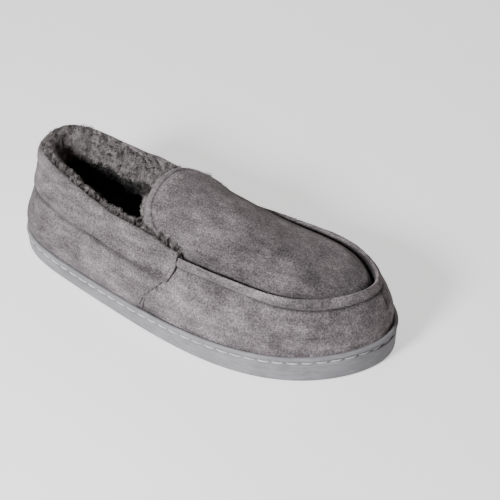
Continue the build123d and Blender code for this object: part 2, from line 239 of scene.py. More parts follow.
def wrap(sections, turns):
    """Points (rows, turns, 3) of cross-sections given as (rows, turns, (inset, z))."""
    x, y = outline(np.broadcast_to(turns, sections.shape[:2]), sections[..., 0])
    return np.stack([x, y, sections[..., 1]], -1)


def tube(path, radius, sides=10, flat=1.0):
    """Points and faces of a closed-ended tube along a path; flat squeezes it across."""
    path = np.asarray(path, float)
    along = np.gradient(path, axis=0)
    along /= np.linalg.norm(along, axis=1, keepdims=True)
    across = np.cross(along, [0, 0, 1.0])
    across /= np.maximum(np.linalg.norm(across, axis=1, keepdims=True), 1e-6)
    upward = np.cross(across, along)
    angles = np.arange(sides) / sides * TAU
    radius = np.broadcast_to(radius, len(path))[:, None, None]
    ring = (across[:, None] * np.cos(angles)[None, :, None] * flat
            + upward[:, None] * np.sin(angles)[None, :, None]) * radius
    points = (path[:, None] + ring).reshape(-1, 3)
    faces = grid_faces(len(path), sides, wrap_columns=True)
    faces.append(list(range(sides))[::-1])
    faces.append([(len(path) - 1) * sides + n for n in range(sides)])
    return points, faces


def join(parts):
    """One array of points and one list of faces from many."""
    points, faces, start = [], [], 0
    for part_points, part_faces in parts:
        points.append(part_points)
        faces.extend([[n + start for n in face] for face in part_faces])
        start += len(part_points)
    return np.concatenate(points), faces


def points_at(path, where, run):
    """Points of a path at given values of run, which grows along it."""
    return np.stack([np.interp(where, run, path[:, axis]) for axis in range(3)], -1)


# Along one thread: how far it dips, as a share of its sink, and how thick it is.
STITCH_DIP = np.array([1.0, 0.5, 0.12, 0.0, 0.12, 0.5, 1.0])
STITCH_TAPER = np.array([0.55, 0.9, 1.0, 1.0, 1.0, 0.9, 0.55])


def stitch_run(path, pitch, length, radius, sink):
    """Rounded threads along a path of points, each end dipping into the cloth by sink."""
    centre = path.mean(axis=0)
    run = np.concatenate([[0], np.cumsum(np.linalg.norm(np.diff(path, axis=0), axis=1))])
    count = int(run[-1] / pitch)
    parts = []
    for number in range(count):
        middle = (number + 0.5) * run[-1] / count
        uneven = 1 + 0.06 * rng.standard_normal()
        where = middle + np.linspace(-0.5, 0.5, len(STITCH_DIP)) * length * uneven
        spine = points_at(path, where, run)
        inward = centre - spine
        inward[:, 2] *= 0.2
        inward /= np.linalg.norm(inward, axis=1, keepdims=True)
        spine = spine + inward * STITCH_DIP[:, None] * sink
        parts.append(tube(spine, radius * STITCH_TAPER, sides=8))
    return join(parts)


# ------------------------------------------------------------------ materials
class Nodes:
    """Short-hand for building a material's node tree."""

    def __init__(self, name):
        self.material = bpy.data.materials.new(name)
        self.material.use_nodes = True
        self.tree = self.material.node_tree
        self.shader = self.tree.nodes["Principled BSDF"]
        self.place = self.add("ShaderNodeTexCoord").outputs["Object"]

    def add(self, kind, **inputs):
        node = self.tree.nodes.new(kind)
        for key, value in inputs.items():
            self.set(node, key, value)
        return node

    def set(self, node, key, value):
        socket = node.inputs[key]
        if isinstance(value, bpy.types.NodeSocket):
            self.tree.links.new(value, socket)
        else:
            socket.default_value = value

    def surface(self, sockets):
        """Sets sockets of the surface shader, by name."""
        for key, value in sockets.items():
            self.set(self.shader, key, value)

    def noise(self, scale, detail=3.0, roughness=0.6, stretch=None):
        """Noise texture; scale is in repeats per metre, stretch a (x, y, z) factor on the position."""
        place = self.place
        if stretch:
            mapping = self.add("ShaderNodeMapping", Vector=place)
            mapping.inputs["Scale"].default_value = stretch
            place = mapping.outputs[0]
        node = self.add("ShaderNodeTexNoise", Vector=place, Scale=scale, Detail=detail)
        node.inputs["Roughness"].default_value = roughness
        return node.outputs["Fac"]

    def ramp(self, factor, *stops):
        node = self.add("ShaderNodeValToRGB", Fac=factor)
        elements = node.color_ramp.elements
        while len(elements) < len(stops):
            elements.new(0.5)
        for element, (position, colour) in zip(elements, stops):
            element.position = position
            element.color = (*colour, 1.0)
        return node.outputs["Color"]

    def math(self, operation, first, second):
        node = self.add("ShaderNodeMath")
        node.operation = operation
        self.set(node, 0, first)
        self.set(node, 1, second)
        return node.outputs[0]

    def mix(self, factor, first, second, mode="MIX"):
        node = self.add("ShaderNodeMix")
        node.data_type = "RGBA"
        node.blend_type = mode
        self.set(node, 0, factor)
        self.set(node, 6, first)
        self.set(node, 7, second)
        return node.outputs[2]

    def bump(self, height, distance, strength=1.0, under=None):
        node = self.add("ShaderNodeBump", Height=height, Distance=distance, Strength=strength)
        if under is not None:
            self.set(node, "Normal", under)
        return node.outputs["Normal"]


def grey(value):
    return (value, value, value)


def suede_material(name, tint, light=1.0):
    """Brushed micro-suede: cloudy nap, short brushed marks, fine fibre grain and a soft sheen.

    The mesh attribute shade darkens it with painted shade along the seams, furrows and grooves, in a crease
    and low on the heel."""
    nodes = Nodes(name)
    clouds = nodes.noise(24, 5, 0.62)
    brushed = nodes.noise(85, 5, 0.66, stretch=(0.55, 1.0, 1.9))
    speckle = nodes.noise(880, 3, 0.75)
    grain = nodes.noise(2600, 2, 0.7)
    dark = tuple(channel * 0.08 * light for channel in tint)
    mid = tuple(channel * 0.165 * light for channel in tint)
    pale = tuple(channel * 0.30 * light for channel in tint)
    blend = nodes.math("ADD", nodes.math("MULTIPLY", clouds, 0.5), nodes.math("MULTIPLY", brushed, 0.5))
    colour = nodes.ramp(blend, (0.36, dark), (0.5, mid), (0.64, pale))
    flecks = nodes.ramp(speckle, (0.36, grey(0.38)), (0.5, grey(0.93)), (0.66, grey(1.7)))
    colour = nodes.mix(0.85, colour, flecks, "MULTIPLY")
    # Painted shade: the shade attribute darkens the colour down to 0.16 where shade falls.
    seam = nodes.add("ShaderNodeAttribute")
    seam.attribute_name = "shade"
    painted_shade_tint = nodes.ramp(seam.outputs["Fac"], (0.0, grey(1.0)), (1.0, grey(0.16)))
    colour = nodes.mix(1.0, colour, painted_shade_tint, "MULTIPLY")
    soft = nodes.bump(brushed, 0.0011, 0.55)
    fine = nodes.bump(speckle, 0.00045, 0.8, soft)
    nodes.surface({"Base Color": colour, "Roughness": 0.94, "Specular IOR Level": 0.12,
                   "Sheen Weight": 0.3, "Sheen Roughness": 0.4, "Sheen Tint": (0.86, 0.80, 0.82, 1),
                   "Normal": nodes.bump(grain, 0.00012, 0.9, fine)})
    return nodes.material


def fleece_material(name, root, tip):
    """Pile fibres: dark at the root, pale at the tip, with a little variation from tuft to tuft."""
    nodes = Nodes(name)
    shade = nodes.add("ShaderNodeAttribute")
    shade.attribute_name = "shade"
    halfway = tuple(0.7 * a + 0.3 * b for a, b in zip(root, tip))
    colour = nodes.ramp(shade.outputs["Fac"], (0.0, root), (0.6, halfway), (1.0, tip))
    patches = nodes.ramp(nodes.noise(250, 3, 0.6), (0.36, grey(0.34)), (0.64, grey(1.5)))
    nodes.surface({"Base Color": nodes.mix(0.85, colour, patches, "MULTIPLY"), "Roughness": 0.85,
                   "Specular IOR Level": 0.15, "Sheen Weight": 0.5, "Sheen Roughness": 0.5,
                   "Normal": nodes.bump(nodes.noise(1500, 3, 0.7), 0.0006, 0.8)})
    return nodes.material


def rubber_material():
    """Matt moulded rubber with a fine spark-eroded grain and scuffs."""
    nodes = Nodes("sole_rubber")
    clouds = nodes.noise(38, 5, 0.6)
    scuffs = nodes.noise(170, 4, 0.65, stretch=(0.5, 0.5, 2.4))
    grain = nodes.noise(1900, 2, 0.6)
    colour = nodes.ramp(clouds, (0.3, (0.215, 0.218, 0.232)), (0.7, (0.315, 0.318, 0.336)))
    marks = nodes.ramp(scuffs, (0.36, grey(0.78)), (0.6, grey(1.08)))
    polish = nodes.ramp(scuffs, (0.3, grey(0.5)), (0.7, grey(0.72)))
    soft = nodes.bump(scuffs, 0.0005, 0.35)
    nodes.surface({"Base Color": nodes.mix(0.8, colour, marks, "MULTIPLY"), "Roughness": polish,
                   "Specular IOR Level": 0.4, "Normal": nodes.bump(grain, 0.00008, 0.7, soft)})
    return nodes.material


def thread_material(name, dark, pale):
    """Twisted thread: fine diagonal plies and an uneven dye."""
    nodes = Nodes(name)
    twist = nodes.add("ShaderNodeTexWave", Vector=nodes.place, Scale=620.0, Distortion=1.5)
    twist.bands_direction = "DIAGONAL"
    colour = nodes.ramp(nodes.noise(330, 3), (0.3, dark), (0.7, pale))
    nodes.surface({"Base Color": colour, "Roughness": 0.7, "Sheen Weight": 0.2,
                   "Normal": nodes.bump(twist.outputs["Fac"], 0.0003, 0.8)})
    return nodes.material


def plain_grain_material(name, dark, pale, scale, roughness):
    """Board, foam and stiffener: a mottled colour with a grain of the given scale."""
    nodes = Nodes(name)
    grain = nodes.noise(scale, 4, 0.65)
    nodes.surface({"Base Color": nodes.ramp(grain, (0.3, dark), (0.7, pale)), "Roughness": roughness,
                   "Normal": nodes.bump(grain, 0.0004, 0.6)})
    return nodes.material


SUEDE_TINT = (1.02, 0.915, 0.95)
suede = suede_material("suede", SUEDE_TINT)
# A lighter copy of the suede for the ridge roll: painted light, for the roll's top catching the light.
suede_painted_light = suede_material("suede_ridge", SUEDE_TINT, 1.12)
fleece = fleece_material("fleece_pile", (0.018, 0.014, 0.013), (0.37, 0.335, 0.325))
# The ground cloth and the deeper pile are near-black copies of the fleece: painted shade for the unlit
# inside of the slipper.
fleece_base = fleece_material("fleece_ground", (0.03, 0.025, 0.023), (0.09, 0.08, 0.075))
fleece_painted_shade = fleece_material("fleece_painted_shade", (0.012, 0.010, 0.009), (0.05, 0.044, 0.04))
rubber = rubber_material()
sole_thread = thread_material("sole_thread", (0.50, 0.50, 0.51), (0.74, 0.74, 0.75))
upper_thread = thread_material("upper_thread", (0.035, 0.03, 0.03), (0.085, 0.075, 0.075))
binding_cloth = thread_material("binding_cloth", (0.26, 0.24, 0.24), (0.42, 0.39, 0.39))
board_fibre = plain_grain_material("board_fibre", (0.30, 0.24, 0.17), (0.42, 0.35, 0.26), 900, 0.8)
open_foam = plain_grain_material("open_foam", (0.55, 0.53, 0.46), (0.72, 0.70, 0.64), 1400, 0.9)
counter_sheet = plain_grain_material("counter_sheet", (0.45, 0.43, 0.38), (0.56, 0.54, 0.49), 600, 0.5)

for node_name, inner_material in (("insole_board", board_fibre), ("foam_footbed", open_foam),
                                  ("heel_counter", counter_sheet)):
    node_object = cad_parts[node_name]
    node_object.data.materials.clear()
    node_object.data.materials.append(inner_material)

# ------------------------------------------------------------------ outsole and its stitches
SOLE_TURNS = np.arange(1400) / 1400 * TAU
CUP_WALL, CUP_FLOOR = 3.6 * UNIT, 6.0 * UNIT
GROOVE_DROP = 5.0 * UNIT                     # from the lip's top down to the stitch groove's middle
BEAD = 1.65 * UNIT                           # radius of the lip's rolled top
TREAD_DEPTH, TREAD_PITCH = 1.6 * UNIT, 9.0 * UNIT
TREAD_ZIGZAG, TREAD_SLANT = 20.0 * UNIT, 0.55
EDGE_LINE_PITCH, EDGE_LINE_DEPTH = 2.1 * UNIT, 0.16
SIDE_INSET, SIDE_LEAN = 0.85, 0.25
SIDE_START = 3.2 * UNIT
# Rows of (inset, height): the rounded edge at the ground, and the groove about its middle.
FOOT_EDGE = [(3.4, 0.0), (2.3, 0.35), (1.5, 1.1), (1.05, 2.1), (0.85, 3.2)]
GROOVE = [(0.72, -1.75), (1.15, -1.5), (1.75, -1.3), (2.05, -0.9), (2.05, 0.9), (1.75, 1.3),
          (1.0, 1.5), (0.55, 1.75)]


def make_outsole():
    """Cup sole: flat treaded underside, rounded foot edge, stitch groove, rolled lip and cup."""
    x = raw_outline(SOLE_TURNS)[0]
    lip = curve(LIP, x)
    groove = lip - GROOVE_DROP
    forepart = fade(x, -40 * UNIT, 10 * UNIT)
    rows = []

    def ring(inset, z):
        rows.append(np.stack([np.broadcast_to(inset, x.shape), np.broadcast_to(z, x.shape)], -1))

    for inset, z in FOOT_EDGE:
        ring(inset * UNIT, z * UNIT)
    side_end = groove - 2.1 * UNIT
    for share in np.linspace(0, 1, 26)[1:]:
        z = SIDE_START + (side_end - SIDE_START) * share
        lines = EDGE_LINE_DEPTH * forepart * np.maximum(np.cos(z / EDGE_LINE_PITCH * TAU), 0) ** 3
        ring(SIDE_INSET - SIDE_LEAN * share + lines, z)
    for inset, rise in GROOVE:
        ring(inset * UNIT, groove + rise * UNIT)
    for angle in np.linspace(-55, 140, 15):
        spread = math.radians(angle)
        ring(BEAD * (1 - math.cos(spread)) * 0.95, lip - BEAD + BEAD * math.sin(spread))
    ring(CUP_WALL, lip - 1.6 * UNIT)
    ring(CUP_WALL, lip - 6 * UNIT)
    ring(CUP_WALL, CUP_FLOOR)
    shell = wrap(np.array(rows), SOLE_TURNS)

    spine_x = x * 0.62
    spine_y = np.interp(spine_x, [-90 * UNIT, 0, 90 * UNIT], [3.5 * UNIT, 0.0, 5.0 * UNIT])
    edge = shell[0]
    under = []
    for share in np.linspace(0, 1, 70)[1:]:
        px = edge[:, 0] + (spine_x - edge[:, 0]) * share
        py = edge[:, 1] + (spine_y - edge[:, 1]) * share
        zigzag = np.abs((py + TREAD_ZIGZAG / 2) % TREAD_ZIGZAG - TREAD_ZIGZAG / 2)
        cut = fade(np.cos((px + TREAD_SLANT * zigzag) / TREAD_PITCH * TAU), 0.62, 0.85)
        away_from_rim = fade(share * 55, 5, 6.5)
        under.append(np.stack([px, py, TREAD_DEPTH * cut * away_from_rim], -1))
    floor_middle = np.stack([spine_x, spine_y, np.full_like(x, CUP_FLOOR)], -1)
    grid = np.concatenate([np.array(under)[::-1], shell, floor_middle[None]])

    height = grid[..., 2:3]
    side = (height > 1.2 * UNIT) & (height < lip[None, :, None] - 0.4)
    away = np.stack([np.cos(SOLE_TURNS), np.sin(SOLE_TURNS), np.zeros_like(SOLE_TURNS)], -1)
    grid = grid - away * 0.12 * (ripple(grid, 46.0, 3)[..., None] + 0.5) * side
    faces = grid_faces(*grid.shape[:2], wrap_columns=True)
    add_mesh("outsole_rubber", grid.reshape(-1, 3), faces, rubber, ["outsole"])


def make_sole_stitches():
    """Waxed thread in the sidewall groove, dipping into a hole between each stitch."""
    turns = np.linspace(0, TAU, 1600)
    x = raw_outline(turns)[0]
    px, py = outline(turns, 1.35 * UNIT)
    path = np.stack([px, py, curve(LIP, x) - GROOVE_DROP], -1)
    points, faces = stitch_run(path, 9.6 * UNIT, 7.9 * UNIT, 0.62 * UNIT, sink=0.55 * UNIT)
    add_mesh("sole_thread", points, faces, sole_thread, ["sidewall_stitches"])


# ------------------------------------------------------------------ upper
FURROW_DROP = 6.4 * UNIT                     # from the ridge's highest line down to the furrow
FURROW_INSET = 0.7 * UNIT
HIDDEN_BELOW_LIP = 5.0 * UNIT                # how far the suede runs down inside the cup
APRON_EDGE_GAP = 4.6 * UNIT                  # from the ridge's highest line in to the apron's edge
ARC = 147.0 * UNIT                           # roughly the outline's length per unit of turn, at the instep
TOE_ARC = 57.0 * UNIT                        # the same at the toe's tip
HEEL_ARC = 74.0 * UNIT                       # and at the back of the heel
CREASE_TURN = 0.03                           # upright crease in the wall at the toe's tip
GATHERS_PER_TURN, FOLDS_PER_TURN = 37.4, 9.0
WALL_UNDERLAP = 9.0 * UNIT                   # how far the wall runs on behind the quarter's front edge
OPEN_FROM, OPEN_TO = 34.0 * UNIT, 52.0 * UNIT  # heights between which the quarter's edge comes free
COLLAR_FRONT = 4.6 * UNIT                    # x of the collar band's two front corners
COLLAR_REACH_UP = 3.0 * UNIT                 # how far the quarters run up behind the collar band
LATERAL_JOIN, MEDIAL_JOIN = turn_at(4.0 * UNIT, -1), turn_at(4.0 * UNIT, 1)


def add_suede(name, grid, nodes, painted_shade, cloth=suede, thickness=SUEDE_THICKNESS, closed=False):
    """A suede panel whose outer face is a grid of points, with the cloth's thickness behind it."""
    faces = grid_faces(*grid.shape[:2], wrap_columns=closed)
    # The painted shade per point goes into the shade attribute, which darkens the suede where shade falls.
    panel = add_mesh(name, grid.reshape(-1, 3), faces, cloth, nodes, painted_shade)
    solid = panel.modifiers.new("thickness", "SOLIDIFY")
    solid.thickness = thickness * MM
    solid.offset = -1.0


def front_x(z):
    """Where the quarter's front edge stands at a height."""
    rows = [(height, x) for x, height in QUARTER_FRONT]
    return curve(rows, z)


def quarter_edge_turn(z, side, ahead):
    """Turn of the quarter's front edge at a height, moved towards the toe by ahead."""
    return turn_at(front_x(z) + ahead, side)


def cloth_relief(grid, seed, depth=1.0):
    """Puckers and soft dents of unlined suede: broad dents, folds and a fine unevenness."""
    stretched = grid * np.array([1.0, 1.0, 0.55])
    return depth * (0.75 * ripple(grid, 34.0, seed) + 0.42 * ripple(stretched, 13.0, seed + 1)
                    + 0.16 * ripple(grid, 5.5, seed + 2))


def make_vamp_wall():
    """Suede wall from under one quarter, round the toe, to the other; its top is the furrow."""
    rows, columns = 64, 760
    heights = np.linspace(10, 48, rows) * UNIT
    start = quarter_edge_turn(heights, -1, -WALL_UNDERLAP)
    end = quarter_edge_turn(heights, 1, -WALL_UNDERLAP)
    share = np.linspace(0, 1, columns)
    turns = start[:, None] + (end - start)[:, None] * share[None, :]
    x = raw_outline(turns)[0]
    bottom = curve(LIP, x) - HIDDEN_BELOW_LIP
    top = curve(CREST, x) - FURROW_DROP
    v = np.linspace(0, 1, rows)[:, None]
    z = bottom + (top - bottom) * v

    at_foot = -0.5 * UNIT * (1 - fade(z, bottom, bottom + 9 * UNIT))
    belly = 1.3 * UNIT * np.sin(np.pi * np.clip((v - 0.18) / 0.82, 0, 1)) ** 1.2
    furrow = FURROW_INSET * fade(v, 0.88, 1.0)
    from_end = np.minimum(turns - turns[:, :1], turns[:, -1:] - turns) * ARC
    open_part = fade(z, OPEN_FROM, OPEN_TO)
    under_quarter = 1.9 * UNIT * (open_part * (1 - fade(from_end, 0, 24 * UNIT))
                                  + (1 - open_part) * (1 - fade(from_end, 0, 8 * UNIT)))
    px, py = outline(turns, suede_inset(x, z) + at_foot - belly + furrow + under_quarter)
    grid = np.stack([px, py, z], -1)

    gathers = np.array([noise.noise(Vector((turn * GATHERS_PER_TURN, np.sign(turn), 4.0)))
                        for turn in turns[0]])
    folds = np.array([noise.noise(Vector((turn * FOLDS_PER_TURN, 1.5, 8.0))) for turn in turns[0]])
    pleats = gathers[None, :] * (fade(v, 0.72, 0.95) * 0.25 + (1 - fade(v, 0.15, 0.42)) * 0.45)
    pleats = pleats + 3.2 * np.minimum(folds + 0.12, 0)[None, :] * np.sin(np.pi * np.clip(v * 1.25, 0, 1))
    from_crease = (turns - CREASE_TURN) * TOE_ARC
    crease = 0.6 * np.exp(-((from_crease / (0.9 * UNIT)) ** 2)) * np.sin(np.pi * v) ** 0.6
    sewn = (fade(v, 0.05, 0.25) * (1 - 0.6 * fade(v, 0.86, 1.0)))[..., None]
    calm = fade(from_end, 3 * UNIT, 16 * UNIT)[..., None]
    relief = (cloth_relief(grid, 11) * 1.35 - 0.25)[..., None] * sewn * calm
    relief = relief + (pleats * 0.62 - crease)[..., None]
    grid = push_out(grid, grid.mean(axis=(0, 1)), relief)

    # Painted shade in the furrow under the ridge and along the upright crease at the toe's tip.
    painted_shade = furrow_shade(x) * near(top - z, 1.5) + 0.75 * near(from_crease, 0.7)
    add_suede("vamp_wall_suede", grid, ["vamp_wall"], painted_shade)


def furrow_shade(x):
    """How much painted shade the furrow under the ridge gets: deep round the toe, shallow beside the
    instep.
    """
    return 0.35 + 0.45 * fade(x, 30 * UNIT, 110 * UNIT)


def make_ridge():
    """The raised seam: the wall's edge rolled over its cord, from the furrow into the apron's groove."""
    turns = np.linspace(turn_at(-1 * UNIT, -1), turn_at(-1 * UNIT, 1), 760)
    x = raw_outline(turns)[0]
    crest = curve(CREST, x)
    furrow_inset = suede_inset(x, crest - FURROW_DROP) + FURROW_INSET
    crest_inset = ridge_inset(x)
    outer_inset = furrow_inset * 0.62 + crest_inset * 0.38
    controls = np.array([
        [furrow_inset + 1.2 * UNIT, crest - FURROW_DROP - 1.1 * UNIT],
        [furrow_inset + 0.1 * UNIT, crest - FURROW_DROP + 0.4 * UNIT],
        [outer_inset - 0.9 * UNIT, crest - 3.7 * UNIT],
        [outer_inset + 1.0 * UNIT, crest - 1.3 * UNIT],
        [crest_inset + 0.2 * UNIT, crest],
        [crest_inset + 1.7 * UNIT, crest - 1.0 * UNIT],
        [crest_inset + 2.2 * UNIT, crest - 3.4 * UNIT],
        [crest_inset + 2.4 * UNIT, crest - 8.5 * UNIT],
    ]).transpose(0, 2, 1)
    sections = through(controls, 40)
    grid = wrap(sections, turns)
    middle = wrap(np.stack([crest_inset, crest - 5 * UNIT], -1)[None], turns)
    relief = cloth_relief(grid, 23, 0.45) + 0.28 * ripple(grid, 7.0, 31)
    grid = push_out(grid, middle, relief[..., None])

    # Painted shade: under the roll and in the furrow on the outer side, and down into the apron's groove on
    # the inner side.
    below_crest = crest[None, :] - sections[..., 1]
    inner_side = sections[..., 0] > crest_inset[None, :]
    under_roll = furrow_shade(x)[None, :] * np.maximum(near(FURROW_DROP - below_crest, 1.1),
                                                       0.4 * fade(below_crest, 1.8, 4.5))
    painted_shade = np.where(inner_side, fade(below_crest, 0.8, 3.0), under_roll)
    add_suede("ridge_roll_suede", grid, ["ridge_piping"], painted_shade, suede_painted_light, RIDGE_THICKNESS)


def surface_path(turns, z, proud):
    """Points on the upper at given turns and heights, standing proud of the suede's outer face."""
    x = raw_outline(turns)[0]
    px, py = outline(turns, suede_inset(x, z) - proud)
    return np.stack([px, py, z], -1)


def make_ridge_stitches():
    """Thread sunk in the furrow below the ridge."""
    turns = np.linspace(turn_at(4 * UNIT, -1), turn_at(4 * UNIT, 1), 900)
    z = curve(CREST, raw_outline(turns)[0]) - FURROW_DROP + 0.2 * UNIT
    path = surface_path(turns, z, -0.75 * UNIT)
    points, faces = stitch_run(path, 4.6 * UNIT, 3.9 * UNIT, 0.34 * UNIT, sink=0.5 * UNIT)
    add_mesh("ridge_thread", points, faces, upper_thread, ["ridge_stitches"])


def quarter_grid(side, rows, columns):
    """Turn of each grid point of a lower quarter, from its front edge to the back of the heel."""
    heights = np.linspace(10, 44, rows) * UNIT
    start = quarter_edge_turn(heights, side, 0.0)
    share = np.linspace(0, 1, columns)
    return start[:, None] + (side * math.pi - start)[:, None] * share[None, :]


def make_quarter(side, name, node):
    """Lower side panel of the heel half, tucked under the collar band at its top."""
    rows, columns = 54, 420
    turns = quarter_grid(side, rows, columns)
    x = raw_outline(turns)[0]
    bottom = curve(LIP, x) - HIDDEN_BELOW_LIP
    top = curve(COLLAR_SEAM, x) + COLLAR_REACH_UP
    v = np.linspace(0, 1, rows)[:, None]
    z = bottom + (top - bottom) * v

    at_foot = 0.5 * UNIT * (1 - fade(z, bottom, bottom + 7.5 * UNIT))
    belly = 0.9 * UNIT * np.sin(np.pi * v)
    under_collar = 1.4 * UNIT * fade(v, 0.84, 0.97)
    from_front = np.abs(turns - turns[:, :1]) * ARC
    open_part = fade(z, OPEN_FROM, OPEN_TO)
    lift = 1.0 * UNIT * open_part * (1 - 0.55 * fade(from_front, 13 * UNIT, 88 * UNIT))
    sink = 0.9 * UNIT * (1 - open_part) * (1 - fade(from_front, 0, 7 * UNIT))
    px, py = outline(turns, suede_inset(x, z) + at_foot - belly + under_collar - lift + sink)
    grid = np.stack([px, py, z], -1)

    sewn = (fade(v, 0.05, 0.22) * (1 - 0.5 * fade(v, 0.9, 1.0)))[..., None]
    calm = fade(from_front, 0, 13 * UNIT)[..., None]
    from_back = np.abs(turns - side * math.pi) * HEEL_ARC
    back_seam = 0.8 * near(from_back, 2.96)
    relief = (cloth_relief(grid, 41 + side) * 1.2)[..., None] * sewn * calm - back_seam[..., None]
    grid = push_out(grid, np.array([0, 0, 35.0]), relief)

    # Painted shade below the collar band's overhang, along the back seam, and on the low back of the heel
    # where it turns from the light.
    below_seam = top - 2.5 * UNIT - z
    painted_shade = near(below_seam, 3.6) * (1 - 0.8 * fade(x, -50 * UNIT, -5 * UNIT))
    painted_shade = painted_shade + near(from_back, 1.665)
    painted_shade = painted_shade + 0.36 * (1 - fade(x, -146 * UNIT, -84 * UNIT))
    add_suede(name, grid, [node], painted_shade, thickness=QUARTER_THICKNESS)


def collar_turns(columns):
    """Turns of the collar band, from the outer corner round the heel to the inner corner."""
    return np.linspace(turn_at(COLLAR_FRONT, -1), turn_at(COLLAR_FRONT, 1) - TAU, columns)


def collar_roll(x, top):
    """Inset of the collar band's highest line."""
    return suede_inset(x, top) + 0.9 * UNIT


def make_collar():
    """Padded collar band: bulges over the heel panel, rolls over the foam and turns inwards."""
    rows = 72
    turns = collar_turns(900)
    x = raw_outline(turns)[0]
    seam = curve(COLLAR_SEAM, x)
    top = curve(COLLAR, x)
    rise = top - seam
    padded = 1 - fade(x, -50 * UNIT, 2 * UNIT)
    stand = (0.4 + 0.6 * padded) * UNIT
    low, middle_height, high = (seam + share * rise for share in (0.28, 0.58, 0.84))
    roll = collar_roll(x, top)
    controls = np.array([
        [suede_inset(x, seam) + 2.0 * UNIT, seam - 0.2 * UNIT],
        [suede_inset(x, seam) - 1.9 * stand, seam + 0.5 * UNIT],
        [suede_inset(x, low) - 1.7 * stand, low],
        [suede_inset(x, middle_height) - 0.9 * stand, middle_height],
        [suede_inset(x, high) - (0.4 + 0.4 * padded) * UNIT, high],
        [roll - 1.1 * UNIT, top - 1.2 * UNIT],
        [roll + 0.3 * UNIT, top - 0.1 * UNIT],
        [roll + 1.7 * UNIT, top - 1.4 * UNIT],
        [roll + 2.4 * UNIT, top - 5.5 * UNIT],
    ]).transpose(0, 2, 1)
    sections = through(controls, rows)

    # The front edges follow the quarters' front line instead of standing upright.
    from_edge = np.minimum(turns[0] - turns, turns - turns[-1]) * ARC
    lead = (front_x(sections[..., 1]) - COLLAR_FRONT) / ARC * (1 - fade(from_edge, 0, 26 * UNIT))
    grid = wrap(sections, turns + lead * np.where(turns > -math.pi, 1, -1))

    inside = wrap(np.stack([roll + 3.0 * UNIT, (seam + top) / 2], -1)[None], turns)
    v = np.linspace(0, 1, rows)[:, None]
    sewn = (fade(v, 0.03, 0.16) * (1 - 0.5 * fade(v, 0.8, 0.95)))[..., None]
    pull = 0.9 * near(from_edge - 8.02 * UNIT, 2.895)[None, :, None]
    relief = (cloth_relief(grid, 57) * 1.25)[..., None] * sewn - pull * sewn
    grid = push_out(grid, inside, relief)

    # Painted shade along the band's lower edge, where it overhangs the quarters.
    painted_shade = near(sections[..., 1] - seam[None, :], 1.3) * (v < 0.4) * (1 - fade(x, -50 * UNIT, -5 * UNIT))
    add_suede("collar_band_suede", grid, ["collar_band", "collar_foam"], painted_shade)


def make_collar_stitches():
    """Row of thread just above the collar band's lower edge."""
    turns = collar_turns(1400)
    z = curve(COLLAR_SEAM, raw_outline(turns)[0]) + 3.0 * UNIT
    path = surface_path(turns, z, 1.95 * UNIT)
    points, faces = stitch_run(path, 4.2 * UNIT, 3.4 * UNIT, 0.3 * UNIT, sink=0.6 * UNIT)
    add_mesh("collar_thread", points, faces, upper_thread, ["collar_stitches"])


def make_quarter_stitches():
    """Row of thread behind each quarter's front edge."""
    z = np.linspace(21, 54, 300) * UNIT
    parts = []
    for side in (-1, 1):
        path = surface_path(quarter_edge_turn(z, side, -3.0 * UNIT), z, 2.1 * UNIT)
        parts.append(stitch_run(path, 4.0 * UNIT, 3.2 * UNIT, 0.3 * UNIT, sink=0.6 * UNIT))
    points, faces = join(parts)
    add_mesh("quarter_thread", points, faces, upper_thread, ["quarter_front_stitches"])


# ------------------------------------------------------------------ apron and tab
TAB_REACH = 33.0 * UNIT
TAB_GROOVE, TAB_ROW = 4.6 * UNIT, 5.0 * UNIT  # from the tab's edge in to its furrow and its stitches


def apron_edge(count):
    """The apron's plan outline: round the toe along the ridge, then the tab's half ellipse."""
    front_turns = np.linspace(LATERAL_JOIN, MEDIAL_JOIN, 1200)
    fx, fy = outline(front_turns, ridge_inset(raw_outline(front_turns)[0]) + APRON_EDGE_GAP)
    join_x = (fx[0] + fx[-1]) / 2
    middle_y, half = (fy[0] + fy[-1]) / 2, (fy[-1] - fy[0]) / 2
    angles = np.linspace(0, math.pi, 400)[1:-1]
    squared = np.sign(np.cos(angles)) * np.abs(np.cos(angles)) ** 0.72
    tx = join_x - (TAB_REACH + join_x) * np.sin(angles) ** 0.70
    ty = middle_y + half * squared
    x = np.concatenate([fx, tx, fx[:1]])
    y = np.concatenate([fy, ty, fy[:1]])
    run = np.concatenate([[0], np.cumsum(np.hypot(np.diff(x), np.diff(y)))])
    where = np.linspace(0, run[-1], count + 1)[:-1]
    return np.interp(where, run, x), np.interp(where, run, y)


